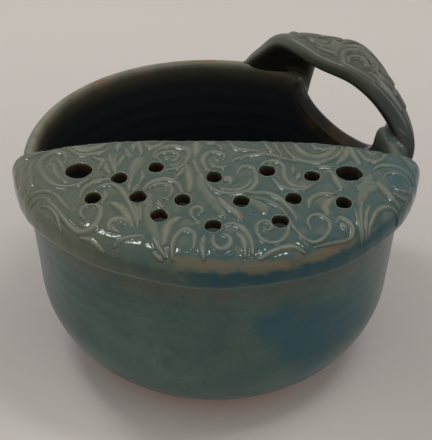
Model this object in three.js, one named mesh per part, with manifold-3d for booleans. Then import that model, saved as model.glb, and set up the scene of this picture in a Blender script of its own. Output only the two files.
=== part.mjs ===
// Berry bowl in glazed stoneware. A thrown bowl carries a half-moon strainer slab folded over
// its front rim, and a strap handle that bridges a notch scooped out of the wall.
// Millimetres, +Z up, base on Z = 0, front of the bowl towards -Y.
import * as THREE from 'three';
import { mergeVertices } from 'three/addons/utils/BufferGeometryUtils.js';
import Module from 'manifold-3d';

// Thrown bowl
const RIM_R = 75;
const RIM_Z = 91;
const FLARE = 2;
const BELLY_Z = 40;
const BASE_R = 33;
const WALL = 5.6;
const FLOOR = 7;

// Clay joints: slip coats one member, with a hair of space on each side of it
const SLIP = 1;
const JOINT_GAP = 0.3;
const SLIP_SPREAD = 1.4;

// Strainer slab
const SLAB = 5;
const LIP = 3.8;
const CROWN = 1.2;
const LIP_DROP = 8;
const BACK_EDGE_Y = -8.3;
const BACK_EDGE_ARC = 430;
const BACK_EDGE_TURN = 1.5;
const SEAM_INSIDE_DROP = 4;
// Holes pierced by hand in three loose arcs along the rim: angle from the front and inset from the rim
const SMALL_HOLE_R = 3;
const SMALL_HOLES = [
  [-43.5, 6], [-19, 9.9], [-0.5, 8], [21.4, 7.2], [45.3, 4.8],
  [-46, 20.6], [-31.2, 16.3], [-13.8, 20.9], [11.1, 21.3], [32.2, 16.8], [49.8, 22.8],
  [-39.5, 34.5], [-1, 36.6], [34.4, 35.7],
];
const LARGE_HOLE_R = 5;
const LARGE_HOLES = [[-60.3, 11], [61.6, 13]];

// Notch scooped out of the wall under the handle
const NOTCH_ANGLE = 38.8;
const NOTCH_HALF = 24;
const NOTCH_DEPTH = 20.4;
const NOTCH_BACK_CORNER = 4.5;
const NOTCH_FRONT_CORNER = 7;
const NOTCH_BACK_POWER = 1.8;
const NOTCH_FRONT_POWER = 2.2;

// Strap handle
const STRAP = 9;
const HANDLE_RISE = 20;
const FOOT_DROP = 17;
const FOOT_BACK = 31;
const FOOT_FRONT = 25;
const FOOT_OUT = -0.3;
// Way from the front foot to the back foot, then the inner edge's offset out from the rim and
// its share of the rise, then the same for the outer edge
const ARCH = [
  [0.99, 1, -0.15, 4, -0.15],
  [0.91, -4.3, 0.46, 3, 0.43],
  [0.78, -13.5, 1, 6.3, 0.64],
  [0.54, -16.6, 0.85, 5.3, 0.92],
  [0.32, -11.9, 0.8, 5, 0.73],
  [0.16, -4.3, 0.49, 5, 0.37],
  [0.03, 1.5, 0, 5, 0],
];

// Glaze colours and finish
const BODY_GLAZE = 0x3a4641;
const SLAB_GLAZE = 0x555c52;
const HANDLE_GLAZE = 0x4a4d44;
const BARE_SLIP = 0x585043;
const GLOSS = 0.25;
const SATIN = 0.4;

// Facets
const AROUND = 60;
const CURVE_STEPS = 8;
const CROWN_STEPS = 3;
const LIP_STEPS = 6;
const HOLE_SIDES = 16;
const STRAP_STATIONS = 28;
const STRAP_SIDES = 14;
const STRAP_SQUARENESS = 0.55;

const BELLY_R = RIM_R - FLARE;
const LIP_R = WALL / 2;
const RIM_MID_R = RIM_R - LIP_R;
const RIM_INNER_R = RIM_R - WALL;
const LIP_Z = RIM_Z - LIP_R;
const SEAT = SLIP + 2 * JOINT_GAP;
const WELD = 1e-4;
const FAR = 4 * RIM_R;

const wasm = await Module();
wasm.setup();

const radians = THREE.MathUtils.degToRad;
const degrees = THREE.MathUtils.radToDeg;

// Welds shared corners and drops triangles that the weld has closed up
function weld(geometry) {
  geometry.deleteAttribute('normal');
  geometry.deleteAttribute('uv');
  const welded = mergeVertices(geometry, WELD);
  const kept = [];
  const index = welded.index.array;
  for (let i = 0; i < index.length; i += 3) {
    const [a, b, c] = index.slice(i, i + 3);
    if (a !== b && b !== c && c !== a) kept.push(a, b, c);
  }
  welded.setIndex(kept);
  return welded;
}

// A closed geometry as a solid that can be joined and cut
function solid(geometry) {
  const welded = weld(geometry);
  return new wasm.Manifold(new wasm.Mesh({
    numProp: 3,
    vertProperties: new Float32Array(welded.attributes.position.array),
    triVerts: new Uint32Array(welded.index.array),
  }));
}

// A closed profile of [radius, height] points turned about the bowl's axis
function turned(profile) {
  const points = profile.map(([r, z]) => new THREE.Vector2(Math.max(r, 0), z));
  const geometry = new THREE.LatheGeometry(points, AROUND);
  geometry.rotateX(Math.PI / 2);
  return solid(geometry);
}

// Points of [radius, height] on an arc, from one angle to another in degrees
function arc(centreR, centreZ, radius, from, to) {
  const points = [];
  for (let i = 0; i <= LIP_STEPS; i += 1) {
    const angle = radians(from + ((to - from) * i) / LIP_STEPS);
    points.push([centreR + radius * Math.cos(angle), centreZ + radius * Math.sin(angle)]);
  }
  return points;
}

// Quarter ellipse from a flat bottom up into the wall
function bottomCurve(flatR, bottomZ, sideR, sideZ) {
  const points = [];
  for (let i = 0; i <= CURVE_STEPS; i += 1) {
    const angle = (Math.PI / 2) * (i / CURVE_STEPS);
    points.push([
      flatR + (sideR - flatR) * Math.sin(angle),
      sideZ - (sideZ - bottomZ) * Math.cos(angle),
    ]);
  }
  return points;
}

// Radius of the outside of the upright wall at a height
function wallR(z) {
  return THREE.MathUtils.mapLinear(z, BELLY_Z, LIP_Z, BELLY_R, RIM_R);
}

// Section of the bowl, grown evenly by the given amount on the outside, rim and inside
function bowlProfile(grow) {
  return [
    [0, -grow],
    ...bottomCurve(BASE_R, -grow, BELLY_R + grow, BELLY_Z),
    ...arc(RIM_MID_R, LIP_Z, LIP_R + grow, 0, 180),
    ...bottomCurve(BASE_R - WALL, FLOOR + grow, BELLY_R - WALL - grow, BELLY_Z).reverse(),
    [0, FLOOR + grow],
  ];
}

function prism(shape) {
  return new THREE.ExtrudeGeometry(shape, { depth: FAR, bevelEnabled: false, curveSegments: CURVE_STEPS });
}

// Outline of the notch: a scoop with corners that round over into the rim
function notchOutline() {
  const top = RIM_Z + LIP_R;
  const frontX = -NOTCH_HALF - NOTCH_FRONT_CORNER;
  const frontZ = RIM_Z - NOTCH_FRONT_CORNER;
  const backX = NOTCH_HALF + NOTCH_BACK_CORNER;
  const backZ = RIM_Z - NOTCH_BACK_CORNER;
  const bottomZ = RIM_Z - NOTCH_DEPTH;
  const steps = 2 * CURVE_STEPS;
  const shape = new THREE.Shape();
  shape.moveTo(frontX, top);
  shape.lineTo(frontX, RIM_Z);
  shape.absarc(frontX, frontZ, NOTCH_FRONT_CORNER, Math.PI / 2, 0, true);
  for (let i = 1; i < steps; i += 1) {
    const across = -Math.cos((Math.PI * i) / steps);
    const power = across > 0 ? NOTCH_BACK_POWER : NOTCH_FRONT_POWER;
    const sideZ = across > 0 ? backZ : frontZ;
    const depth = (1 - Math.abs(across) ** power) ** (1 / power);
    shape.lineTo(NOTCH_HALF * across, sideZ - (sideZ - bottomZ) * depth);
  }
  shape.absarc(backX, backZ, NOTCH_BACK_CORNER, Math.PI, Math.PI / 2, true);
  shape.lineTo(backX, top);
  return shape;
}

function notchCutter() {
  const angle = radians(NOTCH_ANGLE);
  const radial = new THREE.Vector3(Math.cos(angle), Math.sin(angle), 0);
  const along = new THREE.Vector3(-Math.sin(angle), Math.cos(angle), 0);
  const up = new THREE.Vector3(0, 0, 1);
  const geometry = prism(notchOutline());
  geometry.applyMatrix4(new THREE.Matrix4().makeBasis(along, up, radial));
  return solid(geometry);
}

function bowlBody() {
  return turned(bowlProfile(0)).subtract(notchCutter());
}

// Everything in front of the slab's gently curved back edge, set back by the given amount
function frontSide(setBack) {
  const shape = new THREE.Shape();
  const reach = Math.asin(FAR / 2 / BACK_EDGE_ARC);
  const edgeY = BACK_EDGE_Y - setBack;
  shape.absarc(0, edgeY - BACK_EDGE_ARC, BACK_EDGE_ARC, Math.PI / 2 - reach, Math.PI / 2 + reach, false);
  shape.lineTo(-FAR / 2, -FAR);
  shape.lineTo(FAR / 2, -FAR);
  const geometry = prism(shape);
  geometry.rotateZ(radians(BACK_EDGE_TURN));
  return solid(geometry);
}

// One face of the slab's gentle crown, from the axis out to the rim
function crown(edgeZ, rise) {
  const points = [];
  for (let i = 0; i < CROWN_STEPS; i += 1) {
    const way = i / CROWN_STEPS;
    points.push([RIM_MID_R * way, edgeZ + rise * (1 - way * way)]);
  }
  return points;
}

// Section of the slab: crowned over the bowl, folded round the rim and down its outside
function slabProfile() {
  const bend = LIP_R + SEAT;
  const edgeZ = RIM_Z - LIP_DROP + LIP / 2;
  const edgeR = wallR(edgeZ) + SEAT + LIP / 2;
  return [
    ...crown(RIM_Z + SEAT, CROWN),
    ...arc(RIM_MID_R, LIP_Z, bend, 90, 0),
    ...arc(edgeR, edgeZ, LIP / 2, 180, 360),
    ...arc(RIM_MID_R, LIP_Z, bend + LIP, 0, 90),
    ...crown(RIM_Z + SEAT + LIP, CROWN + SLAB - LIP).reverse(),
  ];
}

function drainHole([angle, inset], radius) {
  const reach = RIM_INNER_R - inset;
  const geometry = new THREE.CylinderGeometry(radius, radius, RIM_Z, HOLE_SIDES);
  geometry.rotateX(Math.PI / 2);
  geometry.translate(reach * Math.sin(radians(angle)), -reach * Math.cos(radians(angle)), RIM_Z);
  return solid(geometry);
}

function strainerSlab() {
  const holes = [
    ...SMALL_HOLES.map((place) => drainHole(place, SMALL_HOLE_R)),
    ...LARGE_HOLES.map((place) => drainHole(place, LARGE_HOLE_R)),
  ];
  const sheet = turned(slabProfile()).intersect(frontSide(0));
  return holes.reduce((slab, hole) => slab.subtract(hole), sheet);
}

// Slip between the slab and the rim it is folded over
function strainerSeam() {
  const near = JOINT_GAP;
  const far = JOINT_GAP + SLIP;
  const outsideZ = RIM_Z - LIP_DROP;
  const insideZ = LIP_Z - SEAM_INSIDE_DROP;
  const outsideR = wallR(outsideZ);
  const insideR = wallR(insideZ) - WALL;
  const profile = [
    [outsideR + near, outsideZ],
    [outsideR + far, outsideZ],
    ...arc(RIM_MID_R, LIP_Z, LIP_R + far, 0, 180),
    [insideR - far, insideZ],
    [insideR - near, insideZ],
    ...arc(RIM_MID_R, LIP_Z, LIP_R + near, 180, 0),
    [outsideR + near, outsideZ],
  ];
  return turned(profile).intersect(frontSide(SLIP));
}

// One edge of the strap as a smooth curve from the back foot over the arch to the front foot
function strapEdge(backAngle, frontAngle, outColumn) {
  const at = (way, r, up) => {
    const angle = radians(frontAngle + (backAngle - frontAngle) * way);
    return new THREE.Vector3(r * Math.cos(angle), r * Math.sin(angle), RIM_Z + up);
  };
  const footR = wallR(RIM_Z - FOOT_DROP) + FOOT_OUT;
  return new THREE.CatmullRomCurve3([
    at(1, footR, -FOOT_DROP),
    ...ARCH.map((row) => at(row[0], RIM_R + row[outColumn], row[outColumn + 1] * HANDLE_RISE)),
    at(0, footR, -FOOT_DROP),
  ]);
}

// Strap between its two edges, grown evenly by the given amount
function strap(grow) {
  const notchReach = degrees(Math.asin(NOTCH_HALF / RIM_MID_R));
  const nearBack = NOTCH_ANGLE + notchReach;
  const nearFront = NOTCH_ANGLE - notchReach;
  const inner = strapEdge(nearBack + degrees(FOOT_BACK / RIM_R), nearFront - degrees(FOOT_FRONT / RIM_R), 1);
  const outer = strapEdge(nearBack, nearFront, 3);
  const positions = [];
  const index = [];
  for (let s = 0; s <= STRAP_STATIONS; s += 1) {
    const way = s / STRAP_STATIONS;
    const a = inner.getPoint(way);
    const b = outer.getPoint(way);
    const centre = a.clone().add(b).multiplyScalar(0.5);
    const across = b.clone().sub(a);
    const halfWidth = across.length() / 2 + grow;
    across.normalize();
    const tangent = inner.getTangent(way).add(outer.getTangent(way));
    const face = new THREE.Vector3().crossVectors(tangent, across).normalize();
    for (let k = 0; k < STRAP_SIDES; k += 1) {
      const turn = (2 * Math.PI * k) / STRAP_SIDES;
      const c = Math.cos(turn);
      const d = Math.sin(turn);
      const p = centre.clone();
      p.addScaledVector(across, halfWidth * Math.sign(c) * Math.abs(c) ** STRAP_SQUARENESS);
      p.addScaledVector(face, (STRAP / 2 + grow) * Math.sign(d) * Math.abs(d) ** STRAP_SQUARENESS);
      positions.push(p.x, p.y, p.z);
    }
  }
  const ring = (s, k) => s * STRAP_SIDES + (k % STRAP_SIDES);
  for (let s = 0; s < STRAP_STATIONS; s += 1) {
    for (let k = 0; k < STRAP_SIDES; k += 1) {
      index.push(ring(s, k), ring(s, k + 1), ring(s + 1, k + 1));
      index.push(ring(s, k), ring(s + 1, k + 1), ring(s + 1, k));
    }
  }
  for (let k = 1; k < STRAP_SIDES - 1; k += 1) {
    index.push(ring(0, 0), ring(0, k + 1), ring(0, k));
    index.push(ring(STRAP_STATIONS, 0), ring(STRAP_STATIONS, k), ring(STRAP_STATIONS, k + 1));
  }
  const geometry = new THREE.BufferGeometry();
  geometry.setAttribute('position', new THREE.Float32BufferAttribute(positions, 3));
  geometry.setIndex(index);
  return solid(geometry);
}

function handleStrap() {
  return strap(0).subtract(turned(bowlProfile(SEAT)));
}

// Half of the bowl's surroundings on one side of the notch: 1 is behind it and -1 in front of it
function besideNotch(side) {
  const geometry = new THREE.BoxGeometry(FAR, FAR, FAR);
  geometry.translate(0, (side * FAR) / 2, 0);
  geometry.rotateZ(radians(NOTCH_ANGLE));
  return solid(geometry);
}

// Slip under one foot of the handle, a little wider than the foot
function footSlip(side) {
  const coat = turned(bowlProfile(JOINT_GAP + SLIP)).subtract(turned(bowlProfile(JOINT_GAP)));
  const pads = coat.intersect(strap(SLIP_SPREAD)).subtract(notchCutter()).intersect(besideNotch(side));
  return pads.decompose().reduce((most, pad) => (pad.volume() > most.volume() ? pad : most));
}

const group = new THREE.Group();
group.name = 'berry_bowl';

function addNode(name, shape, colour, roughness) {
  const mesh = shape.getMesh();
  const geometry = new THREE.BufferGeometry();
  geometry.setAttribute('position', new THREE.Float32BufferAttribute(mesh.vertProperties, 3));
  geometry.setIndex(Array.from(mesh.triVerts));
  geometry.computeVertexNormals();
  const material = new THREE.MeshStandardMaterial({ color: colour, roughness, metalness: 0 });
  const node = new THREE.Mesh(geometry, material);
  node.name = name;
  group.add(node);
}

addNode('bowl_body', bowlBody(), BODY_GLAZE, GLOSS);
addNode('strainer_slab', strainerSlab(), SLAB_GLAZE, GLOSS);
addNode('strainer_seam', strainerSeam(), BARE_SLIP, SATIN);
addNode('handle_strap', handleStrap(), HANDLE_GLAZE, GLOSS);
addNode('handle_back_slip', footSlip(1), BARE_SLIP, SATIN);
addNode('handle_front_slip', footSlip(-1), BARE_SLIP, SATIN);

export default group;
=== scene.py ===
import math

import bmesh
import bpy
import numpy as np
from mathutils import Matrix, Vector, kdtree


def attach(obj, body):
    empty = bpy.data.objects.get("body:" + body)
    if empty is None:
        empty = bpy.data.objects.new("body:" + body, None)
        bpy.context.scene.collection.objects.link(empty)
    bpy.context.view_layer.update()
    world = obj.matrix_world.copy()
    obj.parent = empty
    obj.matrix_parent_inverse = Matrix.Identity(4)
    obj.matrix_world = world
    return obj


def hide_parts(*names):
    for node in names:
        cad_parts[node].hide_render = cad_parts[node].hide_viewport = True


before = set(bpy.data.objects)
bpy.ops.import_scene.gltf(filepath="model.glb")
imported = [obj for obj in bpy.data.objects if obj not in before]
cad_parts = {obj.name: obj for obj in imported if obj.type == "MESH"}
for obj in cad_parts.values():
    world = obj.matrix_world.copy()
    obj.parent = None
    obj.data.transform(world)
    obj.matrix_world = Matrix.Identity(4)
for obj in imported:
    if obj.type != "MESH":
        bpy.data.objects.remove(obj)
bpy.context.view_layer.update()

# Sizes are in millimetres and angles in degrees, in the frame of the solids: +Z up, the front towards -Y
MM = 0.001

# Bowl
RIM_R = 75
RIM_Z = 91
FLARE = 2
BELLY_Z = 40
BASE_R = 33
WALL = 5.6
FLOOR = 7
LIP_R = WALL / 2
LIP_Z = RIM_Z - LIP_R
MID_R = RIM_R - LIP_R

# The thrown wall leans out a little at the back and the left, and its rim rises at the back. Each is full
# at its angle and gone where the cosine of the turn away from it has come down to FROM
LEAN = 1.3
LEAN_ANGLE = 140
LEAN_FROM = -0.2
LIFT = 0.9
LIFT_ANGLE = 100
LIFT_FROM = 0.2

# Throwing rings on the wall, outside and inside: how deep they are and how far apart
OUTER_RIPPLE = (0.04, 6.5)
INNER_RIPPLE = (0.07, 8)

# How finely the bowl is meshed, and in how many rounds the outline of its edge is softened
BOWL_COLUMNS = 480
BASE_RINGS = 6
BOTTOM_RINGS = 30
WALL_RINGS = 44
LIP_RINGS = 16
FLOOR_RINGS = 5
EDGE_ROUNDS = 6

# Nearness to the edge falls from one on it to nothing a band below it, and is negative farther down
EDGE_BAND = 9
FAR_FROM_EDGE = -9

# Notch under the handle. Its edge thins on the inside as it goes down from the rim
NOTCH_ANGLE = 38.8
NOTCH_HALF = 24
NOTCH_DEPTH = 20
NOTCH_BACK_CORNER = 4.5
NOTCH_FRONT_CORNER = 7
NOTCH_BACK_POWER = 1.8
NOTCH_FRONT_POWER = 2.2
NOTCH_THINNING = 0.5
NOTCH_FADE = (1, 6)
NOTCH_STEPS = 41
CORNER_STEPS = 13

# Where the bowl's glaze changes, and where painted light lies. By turn on the right side, the pale edge
# and the brown notch start behind the handle's front foot, and the corner painted lighter on its lit side
# ends before it. A warm band lies high on the front, and a brown glow reaches so many edge bands down the
# inside
RIGHT_SIDE = 60
EDGE_TURNS = (18, 27)
NOTCH_TURNS = (20, 30)
LIT_CORNER_TURNS = (14, 20)
LIT_CORNER_FIRST_TURN = -30
WARM_FRONT = (20, 60)
WARM_HEIGHTS = (66, 79)
GLOW_BANDS = 1.4

# Strainer slab, folded over the rim on a coat of slip
SEAT = 1.6
SLAB = 5
LIP = 3.8
CROWN = 1.2
LIP_DROP = 8
BACK_EDGE_Y = -8.3
BACK_EDGE_ARC = 430
BACK_EDGE_TURN = 1.5
FOLD_R = LIP_R + SEAT + LIP
FOLD_WAY = FOLD_R * math.pi / 2
SLAB_VOXEL = 0.36
SLAB_ROUNDS = 6
SLAB_SOFTNESS = 0.5

# The folded lip hangs lower at its left end, and its edge waves a little
DROOP = 2.6
DROOP_ANGLE = -153
DROOP_REACH = 16
DROOP_WAY = (76, 90)
LIP_WAVE = 0.35
LIP_WAVES = 11

# How far the hand-cut edges stray, and three waves that add up to it: their run along x and y, and start
CUT_WAVE = 0.3
CUT_WAVES = [(1.3, 0.4, 0), (0.5, -1.2, 1), (-0.9, 1.1, 2)]

# The back edge bulges on either side of its middle. The bulge starts and ends by the distance from the
# middle, and fades with the room in front of the edge
EDGE_BULGE = 1.6
BULGE_START = (5, 40)
BULGE_END = (50, 72)
BULGE_ROOM = (0, 8)

# Small drain holes: angle from the front and inset from the wall's inside. They are longer than wide
SMALL_HOLE_R = 3
HOLE_MARGIN = 0.4
HOLE_STRETCH = 0.2
SMALL_HOLES = [
    (-43.5, 6), (-19, 9.9), (-0.5, 8), (21.4, 7.2), (45.3, 4.8),
    (-46, 20.6), (-31.2, 16.3), (-13.8, 20.9), (11.1, 21.3), (32.2, 16.8), (49.8, 22.8),
    (-39.5, 34.5), (-1, 36.6), (34.4, 35.7),
]

# Height of the slab's relief, and its parts as shares of it. The relief starts a little way in from the
# back edge, and is worn between two places at the slab's left and right end
RELIEF = 0.7
LEAF_RISE = 0.8
BODY_RISE = 0.4
GROOVE_SINK = 0.15
FIELD_SINK = 0.3
BACK_MARGIN = (0.5, 2.4)
WORN_LEFT = 0.6
WORN_LEFT_END = (-74, -52)
WORN_RIGHT = 0.4
WORN_RIGHT_END = (60, 74)

# Where the slab's glaze changes, from left to right or by the way from the bowl's axis over the fold. It
# breaks tan along a line on the fold, which bends at a place right of the middle
POOLED_LEFT = (-62, -20)
GREENER_RIGHT = (-60, 60)
PALE_LEFT = (-40, -5)
PALE_WAY = (74, 80)
TAN_LINE = 79.8
TAN_SLOPE = 0.08
TAN_BEND = 0.12
TAN_BEND_X = 20
TAN_HALF = (0.5, 4)
TAN_LEFT = (-22, -8)
TAN_RIGHT = (44, 53)
DEEP_LEFT = (-18, 2)
DEEP_RIGHT = (78, 90)
DEEP_BELOW = (0, 4)
DEEP_END = (88.5, 90.5)
HEM_WAY = (88.6, 89.8)
SHARP_END = (82, 85)

# Strap handle
STRAP = 9.6
STRAP_SQUARENESS = 0.7
STRAP_SWELL = 1.05
STRAP_STATIONS = 270
STRAP_SIDES = 128
SECTION_STEPS = 4001
SECTION_HALF_WIDTH = 12
HANDLE_RISE = 20
HANDLE_RELIEF = 1
HANDLE_BREADTH = 1.3
HANDLE_GROOVE_SINK = 0.3
HANDLE_FIELD_SINK = 0.5
FOOT_DROP = 17
FOOT_BACK = 31
FOOT_FRONT = 25
FOOT_OUT = -0.3
FOOT_COVER = 1.2
FOOT_TIP = 0.3
FOOT_TAPER = 14
FOOT_CORNER = 7

# Way along the strap over which its front leg darkens, and its pale inner edge ends
LEG_WAY = (72, 92)
INNER_WAY = (35, 75)

# The strap's arch, from the back foot to the front foot: the share of the way, how far the inner edge
# stands out from the rim and its share of the rise, then the same for the outer edge
ARCH = [
    (0.99, 1, -0.15, 4, -0.15),
    (0.91, -4.3, 0.46, 3, 0.43),
    (0.78, -13.5, 1, 6.3, 0.64),
    (0.54, -16.6, 0.85, 5.3, 0.92),
    (0.32, -11.9, 0.8, 5, 0.73),
    (0.16, -4.3, 0.49, 5, 0.37),
    (0.03, 1.5, 0, 5, 0),
]
INNER_EDGE = 1
OUTER_EDGE = 3

# Slip in the fold: its fillets under the lip and under the slab, and how far it reaches into the clay
LIP_FILLET = 3.8
UNDER_FILLET = 4.5
SLIP_LAP = 0.4
SLIP_SINK = 0.15
SLIP_TAIL = 1
SLAB_LAP = 0.5
FILLET_STEPS = 9
FOLD_STEPS = 8
SEAM_STATIONS = 200

# Slip round the handle's feet, which lie between two turns and above a height. Over the bowl's edge it
# ends at a share of the way to the inside
BACK_FILLET = 5
FRONT_FILLET = 6.5
SLIP_VOXEL = 0.45
SLIP_ROUNDS = 50
SLIP_PULL = 0.6
SLIP_STAND = 0.08
SLIP_EDGE_SINK = 0.4
FEET_FIRST_TURN = -25
FEET_LAST_TURN = 105
FEET_MARGIN = 12
FEET_LOWEST = RIM_Z - FOOT_DROP - FEET_MARGIN
BACK_SLIP_END = 0.7
FRONT_SLIP_END = 0.9
FAR_APART = 99.0

# The back foot's slip is brown on its inside, and on its flank high up in the notch
BROWN_INSETS = (1, 4)
BROWN_TURNS = (60, 68)
BROWN_DEPTHS = (4, 12)

# Camera, from the photograph's view of the rim
CAMERA_DISTANCE = 420
CAMERA_HEIGHT_ANGLE = 36.82
CAMERA_PITCH = 35.78
CAMERA_YAW = 0.09
CAMERA_ROLL = 1.26
CAMERA_LENS = 81

# Blue pools of thick glaze: the place and reach of each, and how blue it is
BODY_POOLS = [
    ((38, -62, 50), 20, 1),
    ((24, -70, 61), 13, 0.8),
    ((54, -50, 48), 24, 0.8),
    ((38, -58, 28), 18, 0.75),
    ((-52, 50, 40), 24, 0.6),
    ((66, 26, 36), 18, 0.5),
]
SLAB_POOLS = [
    ((12, -82, 86), 22, 0.9),
    ((42, -66, 88), 18, 0.9),
    ((58, -50, 92), 14, 0.7),
    ((4, -72, 95), 12, 0.55),
    ((58, -28, 97), 20, 0.5),
    ((20, -48, 97), 18, 0.4),
    ((52, -12, 97), 16, 0.45),
    ((74, -28, 95), 16, 0.9),
    ((68, -30, 95), 8, 0.8),
    ((56, -58, 88), 9, 1),
]

# Half-widths of the relief's strokes, and how a stroke narrows to its ends
HAIR = 0.9
THIN = 1.15
RIDGE = 1.45
LEAF = 2.1
BROAD = 2.7
BODY = 4
STROKE_END = 0.4
STROKE_FULLNESS = 0.7

# Where the sections of the relief lie, in half-widths from a stroke's middle: a ridge's foot, a leaf's
# sides, and the groove along a ridge's foot with its reach
RIDGE_FOOT = 1.2
LEAF_SIDES = (0.2, 1.1)
GROOVE_PLACE = 1.3
GROOVE_REACH = 0.3

# The relief is worked out on a flat grid of small cells between two corners, as far as a number of
# half-widths from each stroke, and is read no nearer than just short of the grid's end
CELL = 0.2
STROKE_REACH = 2
JUST_SHORT = 0.001
SLAB_CORNERS = ((-94, -94), (94, 0))
HANDLE_CORNERS = ((-1, -16), (125, 16))

# Scroll relief of the slab, drawn on the slab laid flat: x to the right, y to the back, from the bowl's
# axis. Each stroke is its half-width and the points that its curve passes through
LEFT_SCROLLS = [
    # spiral round the left large hole
    (RIDGE, (-46, -34.5), (-50, -38), (-54.5, -39.2), (-59.5, -37), (-63.3, -32), (-65.5, -25.5),
        (-64.8, -20.5), (-62, -17.3), (-58.8, -17.2), (-56.6, -20), (-56.3, -23.5)),
    (THIN, (-62.8, -26.5), (-61.6, -24.6), (-60.3, -26), (-59.3, -30), (-57, -34), (-53.5, -36.6)),
    (THIN, (-60.2, -20.8), (-58, -24.3), (-56.4, -28.5)),
    # strokes at the left end
    (THIN, (-73, -21), (-70, -18.6), (-66.5, -16), (-62.5, -14.3)),
    (THIN, (-68.3, -22.5), (-69, -27), (-68, -32.5), (-67.5, -36.5), (-68.8, -40)),
    (THIN, (-71.6, -25), (-72.8, -29.5), (-71.8, -34), (-72.4, -38)),
    (HAIR, (-75.5, -23), (-77, -27), (-76.5, -31)),
    # crescent on the back edge
    (RIDGE, (-58, -12.3), (-54, -14.8), (-49, -16), (-44.5, -14.6), (-40.6, -11)),
    (THIN, (-56.5, -15.5), (-51.5, -18.6), (-46, -18.2), (-42, -16.4)),
    # lobed leaf on the fold
    (THIN, (-70, -41.8), (-65, -41.3), (-60, -42), (-56.5, -44.8), (-53.8, -49.3), (-51.2, -53)),
    (HAIR, (-69, -45), (-64, -44.3), (-59.3, -46)),
    (HAIR, (-63, -48), (-59, -50.3), (-56.4, -54), (-55.3, -58), (-55, -61)),
    # spiral below it
    (RIDGE, (-45, -58.6), (-46.8, -55.3), (-46, -51.4), (-43.3, -49.8), (-40.6, -51.5), (-39.8, -56),
        (-40.7, -60.6), (-43.6, -63.7), (-47.2, -63.4), (-50.3, -60.6), (-53.6, -55.6), (-56.8, -50.6),
        (-60, -46.6)),
    # scroll over the hole
    (RIDGE, (-48, -45), (-47.4, -40.6), (-44.8, -37), (-41.6, -35.4), (-38.4, -34.8)),
    (RIDGE, (-42.8, -41.6), (-41.2, -39.2), (-38.8, -38), (-36.6, -38.5), (-34.6, -40.6), (-32.6, -44),
        (-30.8, -48), (-29.2, -52.6), (-27.5, -57.5), (-26.4, -62)),
    (THIN, (-39.8, -42.5), (-39, -45), (-39.8, -48.3)),
    # leaf spray that runs to the fold
    (LEAF, (-36.6, -49.4), (-34.2, -50.8), (-31.6, -54.2), (-29.6, -58.4), (-28.3, -62.5)),
    (HAIR, (-28.6, -49.5), (-27.2, -54.5), (-26, -60)),
    (HAIR, (-26.6, -49.8), (-26.2, -53.5), (-25.4, -58.5)),
    (RIDGE, (-36, -64.5), (-36.2, -61), (-34.6, -58.4), (-32, -58.4), (-30.2, -60.4)),
    (THIN, (-35, -62), (-34.4, -64.4), (-32.6, -65.6)),
    # leaf ends on the left of the fold
    (THIN, (-47, -65.4), (-43.6, -67), (-41, -69.2), (-38.6, -72.4)),
    (THIN, (-34.4, -71.4), (-31.6, -69.2), (-28, -68), (-24, -67.6)),
    # leaves behind the hole
    (THIN, (-40.6, -18), (-39.6, -22), (-38.2, -27), (-37.2, -31)),
    (HAIR, (-37.7, -19.5), (-37.8, -24), (-37.1, -28), (-36.8, -31)),
    (THIN, (-34, -19), (-35.5, -22.5), (-36.2, -27)),
    (RIDGE, (-41, -25), (-40.4, -28.4), (-38.8, -32)),
    (RIDGE, (-46.6, -20.4), (-44.3, -21.8), (-42.4, -22.8), (-42.6, -25.6), (-43.4, -28.5)),
    (RIDGE, (-37.2, -12.2), (-37.6, -16)),
    (RIDGE, (-31.4, -12.6), (-31.6, -15.6)),
    (THIN, (-34.4, -15.5), (-33.2, -18.3), (-31.6, -20)),
    (THIN, (-30.5, -33), (-31.1, -38), (-31, -42.5)),
    (RIDGE, (-27.9, -38.4), (-28.7, -41), (-29.3, -43)),
    (THIN, (-27.2, -30), (-26.6, -34), (-27.4, -37)),
    (THIN, (-30.2, -10.5), (-29.5, -13.8), (-28.3, -17.2), (-28.6, -20)),
]

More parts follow.
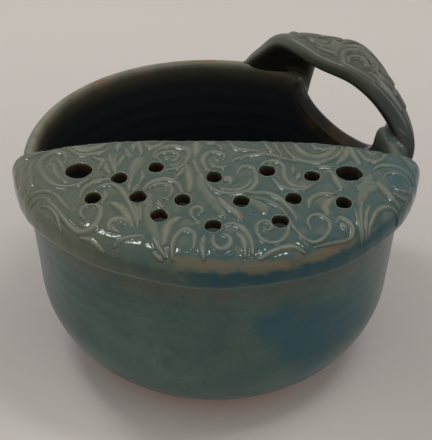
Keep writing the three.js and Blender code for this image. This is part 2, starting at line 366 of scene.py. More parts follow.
MIDDLE_SCROLLS = [
    # eye on the back edge
    (RIDGE, (-27.6, -12.4), (-25, -14.3), (-22, -13), (-20, -11)),
    (RIDGE, (-23.6, -20.6), (-22.8, -17), (-20.4, -14.2), (-17.2, -13), (-14.2, -13.4), (-11.4, -15.2),
        (-10.2, -18.4), (-10.6, -22), (-12, -25.4), (-14.8, -28.2), (-18, -28.8)),
    (THIN, (-20.8, -24), (-22.4, -20.6), (-21, -18), (-18.4, -16.9), (-15.8, -17.1), (-14.2, -19),
        (-14.6, -21.6), (-16.4, -23)),
    (THIN, (-19.4, -20.4), (-18, -21.4)),
    (HAIR, (-17.4, -25.4), (-15, -26), (-13.2, -24.2)),
    # spiral in front of it
    (RIDGE, (-26, -44), (-25.5, -41), (-23.5, -37.5), (-20.6, -35.3), (-17.4, -34.9), (-14.8, -36.5),
        (-13, -39.6), (-12, -43.4)),
    (THIN, (-23.8, -40.4), (-22.2, -38.7), (-19.8, -38), (-17.4, -38.2), (-15.8, -40.2), (-15.5, -43.2),
        (-16.5, -46), (-18.8, -47.2)),
    (RIDGE, (-20, -48), (-19.6, -50.6), (-18.4, -52.5)),
    # leaf pair on the fold
    (LEAF, (-12.2, -57.6), (-14.4, -59.4), (-16, -63), (-16.7, -68), (-16.8, -72)),
    (THIN, (-20.8, -68.5), (-18.6, -73), (-16.2, -77)),
    (THIN, (-20.4, -75), (-17.6, -78)),
    # tall stems in the middle
    (LEAF, (-8, -9.4), (-7.5, -14), (-7.8, -20)),
    (THIN, (-8.4, -22.6), (-7.7, -25.6), (-6.7, -29.4), (-5.3, -32.6), (-4.1, -36)),
    (LEAF, (-11, -26), (-10.2, -29.4), (-9.6, -33.4), (-9.2, -38), (-9.3, -43)),
    (RIDGE, (-12, -28), (-12.8, -30.6), (-14.4, -33.4)),
    # spiral behind the middle hole
    (RIDGE, (2.9, -21), (3, -18.6), (1.3, -17), (-1, -16.3), (-3.2, -17.8), (-4.6, -20.6), (-4.8, -24),
        (-3.8, -27), (-2.2, -29.6)),
    (RIDGE, (-2.4, -24.8), (-0.6, -26.8), (1.8, -27.3), (4.1, -26)),
    (THIN, (-0.6, -20.4), (0.4, -22.5), (1.4, -23)),
    (HAIR, (0, -11), (1.4, -13), (2.4, -15.4)),
    (LEAF, (-3.6, -9.6), (-1.2, -10.6)),
    # wide scroll right of the middle
    (RIDGE, (8, -30.6), (8.9, -27.6), (10.7, -25.6), (13.2, -26.2), (14.6, -29), (15, -33), (14.6, -37),
        (12.6, -40.6), (9, -42.8), (4.6, -43.2), (1, -42), (-1.8, -39.4), (-3.4, -36.6)),
    (HAIR, (13, -33.6), (12.2, -37), (9.8, -39.8), (6.4, -41), (3, -40.4), (0.8, -38.8)),
    (RIDGE, (9, -43), (14, -42.4), (18, -42.2), (21.4, -43.6), (24, -46.4), (26, -50), (27.4, -53.4),
        (28.5, -56)),
    (LEAF, (3.4, -33.4), (5.2, -34.2), (5.4, -36.4)),
    (LEAF, (1.2, -46), (4.2, -50.4), (7, -53.4), (9, -58)),
    (THIN, (6.3, -23.2), (7.6, -21.2), (10, -19.7), (13, -18), (17, -17.2), (21.6, -17.8), (26, -19.8),
        (30.5, -21.2)),
    (RIDGE, (5.6, -10.4), (6.6, -13), (8.8, -14.5), (12.4, -14.6), (16.5, -15.3)),
    # small spiral left of the front hole
    (THIN, (-5.6, -55.6), (-4.4, -54), (-5, -52), (-7, -51.6), (-8.3, -54), (-7.6, -57.4), (-5, -60.4)),
    # arches on the fold
    (RIDGE, (-14, -78), (-14, -72), (-12.8, -67), (-10, -63.8), (-7.5, -65.2), (-6.6, -69), (-7, -74)),
    (RIDGE, (-3.4, -78), (-4, -72.5), (-3.4, -67.4)),
    (RIDGE, (2.6, -66), (5, -67.6), (5.2, -71.4), (2.6, -73.8), (0, -71.6), (-0.4, -66.6)),
    (RIDGE, (3.4, -61.4), (6.2, -60.2), (9, -61.8), (11.2, -65.4), (12.6, -70), (13, -75.5)),
    (RIDGE, (7.4, -65.4), (9.2, -67.6), (10.2, -71.4), (10.4, -76.5)),
    # spiral right of the front hole
    (THIN, (16.6, -62), (18, -63.6), (19.6, -62), (19.2, -59.4), (17.2, -58.2), (15, -60),
        (14.4, -63.4), (15.4, -67), (18, -69.6), (21.4, -69.5), (24.2, -66.5), (25.4, -61.6),
        (25, -55.6), (22.4, -50), (18.6, -46.8), (14, -45)),
    (RIDGE, (15.5, -77), (18.5, -74.4), (22.5, -72), (27, -71), (31, -72.6)),
]

RIGHT_SCROLLS = [
    # spiral behind the second hole from the right
    (RIDGE, (16.6, -28.4), (17.6, -24.2), (20.6, -21.4), (23.6, -22), (25.4, -25.6), (25.2, -30),
        (26.4, -34.6), (29.4, -37.4), (33, -37.4), (36.4, -35)),
    (RIDGE, (20.8, -33), (23, -37), (26.4, -39.6), (30.4, -39.8), (34.6, -37.8)),
    (THIN, (28.9, -25), (28.5, -29)),
    (RIDGE, (31, -29), (29.8, -33)),
    (RIDGE, (18.8, -10.4), (20, -13), (21.6, -15.4)),
    (THIN, (22.4, -9.6), (23.4, -13.4), (25, -17)),
    # crescent on the back edge
    (RIDGE, (25.4, -9.6), (26.8, -14), (29.4, -18.2), (33, -20.8), (37.6, -21.3), (42, -19.4),
        (46, -15.8), (48.8, -11.4), (49.8, -8.4)),
    (LEAF, (29.8, -9), (31.4, -13), (34.8, -16.4), (39, -17), (43, -14.8), (46, -11)),
    (HAIR, (35.4, -9), (38.4, -12.2), (42.4, -12.6), (45.6, -10)),
    (THIN, (36.5, -25), (40, -23.9), (43.6, -24.2)),
    # stems round the right large hole
    (LEAF, (50.6, -8.6), (50, -13.6), (48, -17.8), (45.6, -21.4)),
    (LEAF, (51.6, -9.6), (52.4, -15), (54.4, -20.4)),
    (LEAF, (43.2, -28.6), (44.6, -33.4), (45.8, -37.6)),
    (THIN, (41, -27), (42.4, -26.8), (43.6, -28)),
    # loop on the back edge
    (RIDGE, (53.6, -8.2), (54.6, -12.8), (57, -16.8), (60, -18.2), (63, -16.6), (64.6, -13),
        (64.8, -8.6)),
    (THIN, (56.8, -8.4), (57.8, -12), (60, -14), (61.8, -12.4)),
    # eye at the right end
    (RIDGE, (58.8, -24.4), (61, -21.6), (64.6, -20.2), (68.2, -21.2), (71.6, -24.2), (74.8, -28.4)),
    (THIN, (62, -29.6), (63.4, -26.4), (67, -25), (70.6, -26.6), (72.8, -30), (71.6, -33.8),
        (68.4, -35.4), (64.8, -34)),
    (LEAF, (59.6, -32), (61.4, -36.6), (64, -40.6), (67.6, -43.4)),
    (THIN, (64.6, -38), (68.6, -38.8), (72.4, -37)),
    (RIDGE, (69.6, -11.4), (71.8, -15), (73.4, -19), (75.6, -23)),
    # acanthus leaf and its stems
    (THIN, (52.4, -45.4), (51.4, -50), (51.4, -57), (53, -63)),
    (HAIR, (49.4, -49), (49.9, -55), (51.6, -61), (53.6, -65)),
    (THIN, (55, -47), (53.5, -51), (53.2, -57), (54.2, -63)),
    # arch at the right end of the fold
    (RIDGE, (54.8, -62), (55, -56.4), (56.6, -51), (59.6, -47.2), (63.6, -45.5), (67.6, -46.5),
        (70.8, -49.4)),
    # leaves round the hole in front of them
    (RIDGE, (33, -50), (33.6, -46), (36, -42.6), (39.6, -41), (43.4, -41.3)),
    (LEAF, (39.9, -53.4), (39, -49.6), (40.2, -46), (42.6, -43.4)),
    (RIDGE, (42.6, -57), (43.8, -54.6), (46.2, -56.4), (48.3, -60), (47.6, -63.8)),
    (RIDGE, (43.6, -58), (45.6, -60.2)),
    # spiral near the fold
    (THIN, (33.2, -62), (32.2, -58.2), (33.6, -54.8), (36.4, -53.6), (39, -56), (39.8, -60),
        (38.6, -64), (36.2, -67), (33, -68.2), (30.4, -66.8), (27.8, -62.4), (25.8, -57)),
    (HAIR, (35, -69.6), (38.6, -68), (42.4, -66.4), (46, -64.6), (48.8, -62.2)),
]

# Flat leaves, drawn in the same way
BROAD_LEAVES = [
    (BROAD, (-28.4, -21), (-29, -25), (-29.9, -29), (-30.7, -34)),
    (BROAD, (-23.4, -45), (-23.6, -50), (-23.2, -55), (-22, -60.5), (-20.5, -65.5), (-18.6, -71)),
    (BROAD, (-5.8, -33), (-5.4, -37), (-4.4, -41), (-2.4, -45)),
    (BROAD, (-3.4, -43), (-1.4, -47.4), (0.8, -51.4), (3, -56.4)),
    (BROAD, (11, -46.6), (14.4, -48.4), (16.6, -50.8), (17.6, -54)),
    (BROAD, (57.2, -27.4), (55.8, -32), (54.8, -36.4), (53.2, -41), (51.4, -46.6)),
    (LEAF, (56, -31), (58, -33.6), (57.4, -36.4), (54.6, -39)),
    (LEAF, (55, -33), (52.8, -36), (53.2, -40)),
]

# Middle lines of the broad, low leaf bodies under the ridges
LEAF_BODIES = [
    [(-64, -45), (-58, -49), (-55, -55)],
    [(-72, -26), (-71, -33), (-70, -39)],
    [(-61, -22), (-60, -30), (-56, -36)],
    [(-55, -13), (-49, -14.5), (-43, -12.5)],
    [(-40, -46), (-37, -43), (-35, -44)],
    [(-17, -20), (-15, -23)],
    [(-21, -42), (-17, -41)],
    [(-7.6, -12), (-7.4, -20), (-6, -30), (-5, -40), (-2, -48)],
    [(-1, -21), (-0.5, -25)],
    [(13, -29), (13, -36), (8, -41.5), (2, -41)],
    [(22, -25), (24, -33), (29, -38), (35, -36)],
    [(29, -13), (34, -18.6), (41, -17.4), (46, -12)],
    [(60, -11), (60, -15)],
    [(64, -23), (69, -25), (72, -31), (67, -36)],
    [(60, -52), (65, -47.6)],
    [(40, -44), (38, -50)],
    [(45, -57), (47, -62)],
    [(9, -64), (11, -72)],
    [(20, -75.4), (25, -73.6), (29, -73.4)],
    [(-31, -71), (-25, -70.5)],
]

# Scrolls of the handle's outer face, drawn on the strap laid flat: the way from the back foot, then
# across towards the outer edge
HANDLE_SCROLLS = [
    # spiral in front of the crest, with a ring and a stroke round it
    (THIN, (68.5, -6), (67, -4.5), (66.5, -2.5), (68, 0), (70.5, 0.5), (72.5, -1), (74, -2),
        (75.3, -0.6), (74.6, 1.6)),
    (RIDGE, (68, -7.5), (65.5, -6), (63.5, -3.5), (62.5, -1), (63, 2), (65, 4.2), (68, 4.8),
        (71.5, 4.5), (75, 3), (77, 0.5), (76.8, -2.5)),
    (RIDGE, (62.5, -6.5), (60.8, -4.5), (59.6, -1), (59.8, 3), (61.5, 5.8), (64.5, 7.4), (69, 7.8)),
    (THIN, (65.5, -7.6), (68.5, -8), (72, -8), (76, -7.4), (80, -7.4)),
    # feathers that run down the front leg
    (RIDGE, (76.5, -1.5), (80, -1.5), (83.5, -1), (86.5, -0.8), (89, -2)),
    (LEAF, (77.5, 3), (80.5, 3), (84, 3.4), (86, 3)),
    (RIDGE, (76.5, -5), (79.5, -4.6), (82.5, -4.8), (85.5, -5.4), (88.5, -6.5), (93, -8)),
    (THIN, (88, 1), (91.5, 0.4), (95, -1.4)),
    # scrolls over the crest
    (RIDGE, (52.5, -6.6), (55.3, -5), (56.4, -2.5), (55, 0.5), (52.6, 1.5), (51, 0.8)),
    (RIDGE, (48, -6.8), (50.5, -5.5), (52, -3.5), (53, -1)),
    (RIDGE, (58.6, -4.6), (58, -2), (57, 1), (56.4, 4.5), (57.5, 8)),
    (THIN, (55, -8), (58, -6.7), (60.5, -5.8), (63, -6.2)),
    (LEAF, (45.5, -9.2), (44.5, -6.5), (46, -3)),
    (RIDGE, (47.5, -3), (47.4, 1), (49, 4.6), (52.4, 6)),
    (RIDGE, (54.5, 5), (55, 7.6), (58.6, 9.4)),
    # spirals down the back leg
    (RIDGE, (41, -3), (43, -1), (43, 3), (40, 5.4), (36.6, 4), (35, 0), (36.4, -5), (41, -8), (46, -9)),
    (RIDGE, (31, 3), (29, 1), (29, -3), (32, -6), (35, -8.4)),
    (RIDGE, (26, 7), (24.6, 3), (25.6, -1.6), (23, -5.6)),
    (THIN, (31, 8), (33.6, 6.4), (33.4, 3)),
    (THIN, (21, 5), (20, 0), (21, -5)),
]


def smoothstep(low, high, value):
    t = np.clip((value - low) / (high - low), 0, 1)
    return t * t * (3 - 2 * t)


def fade(low, high, value):
    """One up to low, and nothing from high on."""
    return 1 - smoothstep(low, high, value)


def bell(away, reach):
    return np.exp(-(away / reach) ** 2)


def turn_of(points):
    """The turn round the bowl's axis of each point."""
    return np.degrees(np.arctan2(points[..., 1], points[..., 0]))


def wall_r(z):
    """Outer radius of the wall at a height."""
    return RIM_R - FLARE * (LIP_Z - z) / (LIP_Z - BELLY_Z)


def lean(turn, z):
    """How far the wall leans out at a turn and a height."""
    share = (z - BELLY_Z) / (LIP_Z - BELLY_Z)
    return LEAN * smoothstep(0, 1, share) * smoothstep(LEAN_FROM, 1, np.cos(np.radians(turn - LEAN_ANGLE)))


def pools(points, places):
    """How thick the blue glaze lies at each point."""
    total = np.zeros(len(points))
    for place, reach, depth in places:
        away = np.linalg.norm(points - np.array(place), axis=1)
        total = np.maximum(total, depth * bell(away, reach))
    return total


# Mesh helpers

def link_object(name, data):
    obj = bpy.data.objects.new(name, data)
    bpy.context.scene.collection.objects.link(obj)
    return obj


def new_object(name, points, faces):
    mesh = bpy.data.meshes.new(name)
    mesh.from_pydata((np.asarray(points) * MM).tolist(), [], faces)
    mesh.update()
    mesh.shade_smooth()
    return link_object(name, mesh)


def set_attributes(obj, **marks):
    """Keep numbers for each vertex, which the glazes read by name."""
    for name, values in marks.items():
        layer = obj.data.attributes.new(name, "FLOAT", "POINT")
        layer.data.foreach_set("value", np.asarray(values, dtype=np.float32).ravel())


def get_points(obj, what="co"):
    flat = np.empty(len(obj.data.vertices) * 3)
    obj.data.vertices.foreach_get(what, flat)
    return flat.reshape(-1, 3)


def grid_faces(rows, columns):
    """Quads between rows of points, each row closed on itself."""
    faces = []
    for i in range(rows - 1):
        low, high = i * columns, (i + 1) * columns
        for j in range(columns):
            k = (j + 1) % columns
            faces.append((low + j, low + k, high + k, high + j))
    return faces


def sweep(name, rings):
    """A closed solid from rings of points, with an end face on the first and the last."""
    count, size = rings.shape[:2]
    faces = grid_faces(count, size)
    faces.append(tuple(range(size - 1, -1, -1)))
    faces.append(tuple((count - 1) * size + k for k in range(size)))
    return new_object(name, rings.reshape(-1, 3), faces)


def skin(name, points, normal, faces):
    """A closed skin, one millimetre thick, under some faces, and the numbers of the points it uses."""
    used = np.unique([v for f in faces for v in f])
    number = {v: k for k, v in enumerate(used)}
    count = len(used)
    top = [tuple(number[v] for v in f) for f in faces]
    border = {}
    for face in top:
        for a, b in zip(face, face[1:] + face[:1]):
            if border.pop((b, a), None) is None:
                border[(a, b)] = True
    under = [tuple(v + count for v in reversed(f)) for f in top]
    sides = [(b, a, a + count, b + count) for a, b in border]
    layers = np.concatenate([points[used], points[used] - normal[used]])
    return new_object(name, layers, top + under + sides), used


def remeshed(mesh, name, voxel, rounds):
    """A fine skin over a mesh, softened for some rounds."""
    rough = link_object("rough", mesh)
    remesh = rough.modifiers.new("fine", "REMESH")
    remesh.mode = "VOXEL"
    remesh.voxel_size = voxel * MM
    if rounds:
        soften = rough.modifiers.new("soften", "SMOOTH")
        soften.factor = SLAB_SOFTNESS
        soften.iterations = rounds
    depsgraph = bpy.context.evaluated_depsgraph_get()
    mesh = bpy.data.meshes.new_from_object(rough.evaluated_get(depsgraph))
    bpy.data.objects.remove(rough)
    mesh.name = name
    mesh.materials.clear()
    mesh.shade_smooth()
    return link_object(name, mesh)


def joined(pieces, voxel):
    """One fine skin over several pieces."""
    builder = bmesh.new()
    for piece in pieces:
        builder.from_mesh(piece.data)
    mesh = bpy.data.meshes.new("union")
    builder.to_mesh(mesh)
    builder.free()
    return remeshed(mesh, "union", voxel, 0)


def nearest(points, other):
    """The number of the nearest vertex of another piece to each point, and how far it is."""
    corners = get_points(other) / MM
    tree = kdtree.KDTree(len(corners))
    for k, corner in enumerate(corners):
        tree.insert(corner, k)
    tree.balance()
    found = [tree.find(p) for p in points]
    return np.array([f[1] for f in found]), np.array([f[2] for f in found])


def softened(points, edges, weight):
    """Points drawn towards the middle of their neighbours, which fills hollow corners."""
    count = np.bincount(edges.ravel(), minlength=len(points))[:, None]
    for _ in range(SLIP_ROUNDS):
        total = np.zeros_like(points)
        np.add.at(total, edges[:, 0], points[edges[:, 1]])
        np.add.at(total, edges[:, 1], points[edges[:, 0]])
        points = points + SLIP_PULL * weight[:, None] * (total / np.maximum(count, 1) - points)
    return points


def smooth_curve(points, ways):
    """A centripetal Catmull-Rom curve through the points, at shares of its way."""
    points = np.array(points, float)
    p = np.vstack([2 * points[0] - points[1], points, 2 * points[-1] - points[-2]])
    spans = len(points) - 1
    span = np.minimum((ways * spans).astype(int), spans - 1)
    u = (ways * spans - span)[:, None]
    p0, p1, p2, p3 = (p[span + k] for k in range(4))
    d0, d1, d2 = (np.linalg.norm(b - a, axis=1, keepdims=True) ** 0.5
                  for a, b in ((p0, p1), (p1, p2), (p2, p3)))
    m1 = ((p1 - p0) / d0 - (p2 - p0) / (d0 + d1) + (p2 - p1) / d1) * d1
    m2 = ((p2 - p1) / d1 - (p3 - p1) / (d1 + d2) + (p3 - p2) / d2) * d1
    return ((2 * u ** 3 - 3 * u ** 2 + 1) * p1 + (u ** 3 - 2 * u ** 2 + u) * m1
            + (3 * u ** 2 - 2 * u ** 3) * p2 + (u ** 3 - u ** 2) * m2)


def even_places(steps, count):
    """The length at the ends of some steps, and evenly spaced places along it."""
    length = np.concatenate([[0], np.cumsum(steps)])
    return length, np.linspace(0, length[-1], count, endpoint=False)


# Pressed relief

def ridge_map(strokes, low, high):
    """How many half-widths away the nearest stroke is, on a flat grid between two corners."""
    grid = np.full([int((b - a) / CELL) + 1 for a, b in zip(low, high)], float(STROKE_REACH))
    for width, *points in strokes:
        length = np.linalg.norm(np.diff(points, axis=0), axis=1).sum()
        ways = np.linspace(0, 1, int(length / CELL) + 2)
        widths = width * (STROKE_END + (1 - STROKE_END) * np.sin(math.pi * ways) ** STROKE_FULLNESS)
        for (x, y), w in zip(smooth_curve(points, ways), widths):
            reach = int(STROKE_REACH * w / CELL) + 1
            i = int((x - low[0]) / CELL)
            j = int((y - low[1]) / CELL)
            rows = slice(max(i - reach, 0), i + reach + 2)
            columns = slice(max(j - reach, 0), j + reach + 2)
            window = grid[rows, columns]
            dx = (np.arange(window.shape[0]) + rows.start) * CELL + low[0] - x
            dy = (np.arange(window.shape[1]) + columns.start) * CELL + low[1] - y
            np.minimum(window, np.hypot(dx[:, None], dy[None]) / w, out=window)
    return grid


def away_from(strokes, corners, x, y):
    """How many half-widths each point lies from the nearest stroke, read between the grid's cells."""
    low, high = corners
    grid = ridge_map(strokes, low, high)
    last_i, last_j = np.array(grid.shape) - 1 - JUST_SHORT
    i = np.clip((x - low[0]) / CELL, 0, last_i)
    j = np.clip((y - low[1]) / CELL, 0, last_j)
    i0, j0 = i.astype(int), j.astype(int)
    u, v = i - i0, j - j0
    return ((1 - u) * (1 - v) * grid[i0, j0] + u * (1 - v) * grid[i0 + 1, j0]
            + (1 - u) * v * grid[i0, j0 + 1] + u * v * grid[i0 + 1, j0 + 1])


def ridge(away):
    """A ridge's section: a soft crest that falls to its foot."""
    return fade(0, RIDGE_FOOT, away)


def plateau(away):
    """A leaf's section: a low dome with soft sides."""
    return fade(*LEAF_SIDES, away)


def groove(away):
    """The shallow groove along a ridge's foot."""
    return bell(away - GROOVE_PLACE, GROOVE_REACH)


# Bowl body

def notch_outline():
    """Edge of the notch, from its front corner to its back corner, as along and up."""
    front_z = RIM_Z - NOTCH_FRONT_CORNER
    back_z = RIM_Z - NOTCH_BACK_CORNER
    points = []

    def corner(along, radius, first, last):
        for a in np.radians(np.linspace(first, last, CORNER_STEPS)):
            points.append((along + radius * math.cos(a), RIM_Z - radius + radius * math.sin(a)))

    corner(-NOTCH_HALF - NOTCH_FRONT_CORNER, NOTCH_FRONT_CORNER, 90, 0)
    for a in np.linspace(0, math.pi, NOTCH_STEPS)[1:-1]:
        across = -math.cos(a)
        power, side = (NOTCH_BACK_POWER, back_z) if across > 0 else (NOTCH_FRONT_POWER, front_z)
        depth = (1 - abs(across) ** power) ** (1 / power)
        points.append((NOTCH_HALF * across, side - (side - RIM_Z + NOTCH_DEPTH) * depth))
    corner(NOTCH_HALF + NOTCH_BACK_CORNER, NOTCH_BACK_CORNER, 180, 90)
    return points


def rim_edge():
    """The bowl's edge as turn and height, evenly spaced, with the notch in its middle."""
    cut = [(math.degrees(math.asin(t / MID_R)), z) for t, z in notch_outline()]
    angle, height = np.array([(-180, RIM_Z)] + cut + [(180, RIM_Z)]).T
    steps = np.hypot(np.radians(np.diff(angle)) * MID_R, np.diff(height))
    length, even = even_places(steps, BOWL_COLUMNS)
    turn = even / length[-1] * 360
    lead = np.interp(even, length, angle) - turn
    z = np.interp(even, length, height)
    for _ in range(EDGE_ROUNDS):
        lead = (np.roll(lead, 1) + 2 * lead + np.roll(lead, -1)) / 4
        z = (np.roll(z, 1) + 2 * z + np.roll(z, -1)) / 4
    return lead + turn + NOTCH_ANGLE, z


def closed_slope(values, full_turn=0):
    """Slope of values round a ring, which grow by a full turn from its end to its start."""
    return np.gradient(np.concatenate([values[-1:] - full_turn, values, values[:1] + full_turn]))[1:-1]


def bowl_rows():
    """Rings of the bowl from under its base, up the wall, over the edge and down to its floor.
    Gives the points, how near the edge each lies (1 on it, less away from it), how far inside, and how
    deep in the notch each column's edge is."""
    angle, z = rim_edge()
    along = np.radians(closed_slope(angle, 360)) * MID_R
    rise = closed_slope(z)
    size = np.hypot(along, rise)
    out_along, out_up = -rise / size, along / size
    lip_angle = angle - np.degrees(LIP_R * out_along / MID_R)
    lip_z = z - LIP_R * out_up
    lip_z = lip_z + LIFT * smoothstep(LIFT_FROM, 1, np.cos(np.radians(lip_angle - LIFT_ANGLE)))
    notch = smoothstep(*NOTCH_FADE, RIM_Z - z)
    even = np.linspace(-180, 180, BOWL_COLUMNS, endpoint=False) + NOTCH_ANGLE
    flat = np.zeros(BOWL_COLUMNS)
    points, rim, inside = [], [], []

    def ring(r, turn, height, near, within):
        a = np.radians(turn)
        points.append(np.stack([r * np.cos(a), r * np.sin(a), height + flat], -1))
        rim.append(near + flat)
        inside.append(within + flat)

    def wall_ring(share, inset, ripple, within):
        deep, pitch = ripple
        height = BELLY_Z + (lip_z - BELLY_Z) * share
        turn = even + (lip_angle - even) * smoothstep(0, 1, share)
        wave = deep * np.sin(height * 2 * math.pi / pitch + np.radians(turn)) * math.sin(math.pi * share)
        r = wall_r(height) - inset + wave + lean(turn, height)
        ring(r, turn, height, 1 - (lip_z - height) / EDGE_BAND, within)

    def bottom_ring(a, inset, low, within):
        r = BASE_R - inset + (RIM_R - FLARE - BASE_R) * math.sin(a)
        ring(r, even, BELLY_Z - (BELLY_Z - low) * math.cos(a), FAR_FROM_EDGE, within)

    for share in np.linspace(0.1, 0.95, BASE_RINGS):
        ring(BASE_R * share, even, 0, FAR_FROM_EDGE, 0)
    for a in np.linspace(0, math.pi / 2, BOTTOM_RINGS)[:-1]:
        bottom_ring(a, 0, 0, 0)
    for share in np.linspace(0, 1, WALL_RINGS)[:-1]:
        wall_ring(share, 0, OUTER_RIPPLE, 0)
    for a in np.linspace(0, math.pi, LIP_RINGS):
        push = LIP_R * np.sin(math.pi * (a / math.pi) ** (1 - NOTCH_THINNING * notch))
        r = wall_r(lip_z) - LIP_R + LIP_R * math.cos(a) + lean(lip_angle, lip_z)
        turn = lip_angle + np.degrees(push * out_along / MID_R)
        ring(r, turn, lip_z + push * out_up, 1, (1 - math.cos(a)) / 2)
    for share in np.linspace(1, 0, WALL_RINGS)[1:]:
        wall_ring(share, WALL, INNER_RIPPLE, 1)
    for a in np.linspace(math.pi / 2, 0, BOTTOM_RINGS)[1:]:
        bottom_ring(a, WALL, FLOOR, 1)
    for share in np.linspace(0.9, 0.1, FLOOR_RINGS):
        ring((BASE_R - WALL) * share, even, FLOOR, FAR_FROM_EDGE, 1)
    return np.array(points), np.array(rim), np.array(inside), notch


def make_bowl():
    """The bowl, marked for its glaze and its painted light: the pale broken edge, but not round the front
    foot, the brown notch, the corner by the strainer painted lighter on its lit side, the brown glow
    inside and the warm band under the lip."""
    points, near, inside, notch = bowl_rows()
    bowl = sweep("bowl", points)
    turn = turn_of(points)
    at_edge = np.clip(near, 0, 1)
    edge = at_edge ** 3 * smoothstep(0.1, 0.45, inside)
    edge = edge * np.where(np.abs(turn) < RIGHT_SIDE, smoothstep(*EDGE_TURNS, turn), 1)
    dark = edge * notch * smoothstep(*NOTCH_TURNS, turn)
    # Painted light: the corner by the strainer is painted lighter on its lit side, fading out towards the
    # notch's shaded side
    corner = at_edge * smoothstep(0.3, 0.7, inside)
    corner = corner * fade(*LIT_CORNER_TURNS, turn) * (turn > LIT_CORNER_FIRST_TURN)
    glow = np.clip(1 + (near - 1) / GLOW_BANDS, 0, 1) ** 2 * inside
    front = smoothstep(*WARM_FRONT, -points[..., 1])
    warm = front * smoothstep(*WARM_HEIGHTS, points[..., 2]) * (1 - inside)
    set_attributes(bowl, edge=edge, notch=dark, corner=corner, glow=glow, inside=inside, warm=warm,
                   pool=pools(points.reshape(-1, 3), BODY_POOLS))
    return bowl


# Strainer slab

def slab_flat(points):
    """Where points of the slab lie once it is laid flat, how near its outer side they are, and which
    way that side faces there."""
    x, y, z = points.T
    r = np.hypot(x, y)
    dome = 1 - (r / MID_R) ** 2
    turn = np.arctan2(r - MID_R, z - LIP_Z)
    on_top = r < MID_R
    on_lip = z < LIP_Z
    top = (z - LIP_Z - LIP_R - SEAT - CROWN * dome) / (LIP + (SLAB - LIP) * dome)
    bend = (np.hypot(r - MID_R, z - LIP_Z) - LIP_R - SEAT) / LIP
    lip = (r - wall_r(z) - SEAT) / LIP
    depth = np.where(on_top, top, np.where(on_lip, lip, bend))
    way = np.where(on_top, r, np.where(on_lip, MID_R + FOLD_WAY + LIP_Z - z, MID_R + FOLD_R * turn))
    tilt = np.where(on_top, 0, np.where(on_lip, math.pi / 2, turn))
    out = np.stack([x / r * np.sin(tilt), y / r * np.sin(tilt), np.cos(tilt)], -1)
    return x / r * way, y / r * way, way, depth, out


def back_edge_room(points):
    """How far points lie in front of the slab's gently curved back edge."""
    turn = math.radians(BACK_EDGE_TURN)
    centre = BACK_EDGE_Y - BACK_EDGE_ARC
    away = np.hypot(points[:, 0] + centre * math.sin(turn), points[:, 1] - centre * math.cos(turn))
    return BACK_EDGE_ARC - away


def lip_drop(points):
    """How much lower than even the folded lip hangs, by its turn round the bowl."""
    turn = turn_of(points)
    return DROOP * bell(turn - DROOP_ANGLE, DROOP_REACH) + LIP_WAVE * np.sin(np.radians(turn) * LIP_WAVES)


def hole_stretch(x, y):
    """How far points round the small holes move, so that the holes are longer from front to back."""
    moved = np.zeros(len(x))
    for angle, inset in SMALL_HOLES:
        reach = RIM_R - WALL - inset
        dx = x - reach * math.sin(math.radians(angle))
        dy = y + reach * math.cos(math.radians(angle))
        near = fade(SMALL_HOLE_R + HOLE_MARGIN, 2 * SMALL_HOLE_R, np.hypot(dx, dy))
        moved += HOLE_STRETCH * dy * near
    return moved


def fold_marks(x, way):
    """Where the glaze changes: greener to the right, and over the fold pale on the left, tan along a
    line, deep blue under it, with a light hem."""
    line = TAN_LINE + TAN_SLOPE * np.maximum(x, 0) - TAN_BEND * np.maximum(x - TAN_BEND_X, 0)
    below = way - line
    deep = smoothstep(*DEEP_LEFT, x) * fade(*DEEP_RIGHT, x)
    return {
        "right": smoothstep(*GREENER_RIGHT, x),
        "pale": fade(*PALE_LEFT, x) * smoothstep(*PALE_WAY, way),
        "tan": smoothstep(*TAN_LEFT, x) * fade(*TAN_RIGHT, x) * fade(*TAN_HALF, np.abs(below)),
        "deep": deep * smoothstep(*DEEP_BELOW, below) * fade(*DEEP_END, way),
        "hem": smoothstep(*HEM_WAY, way),
    }


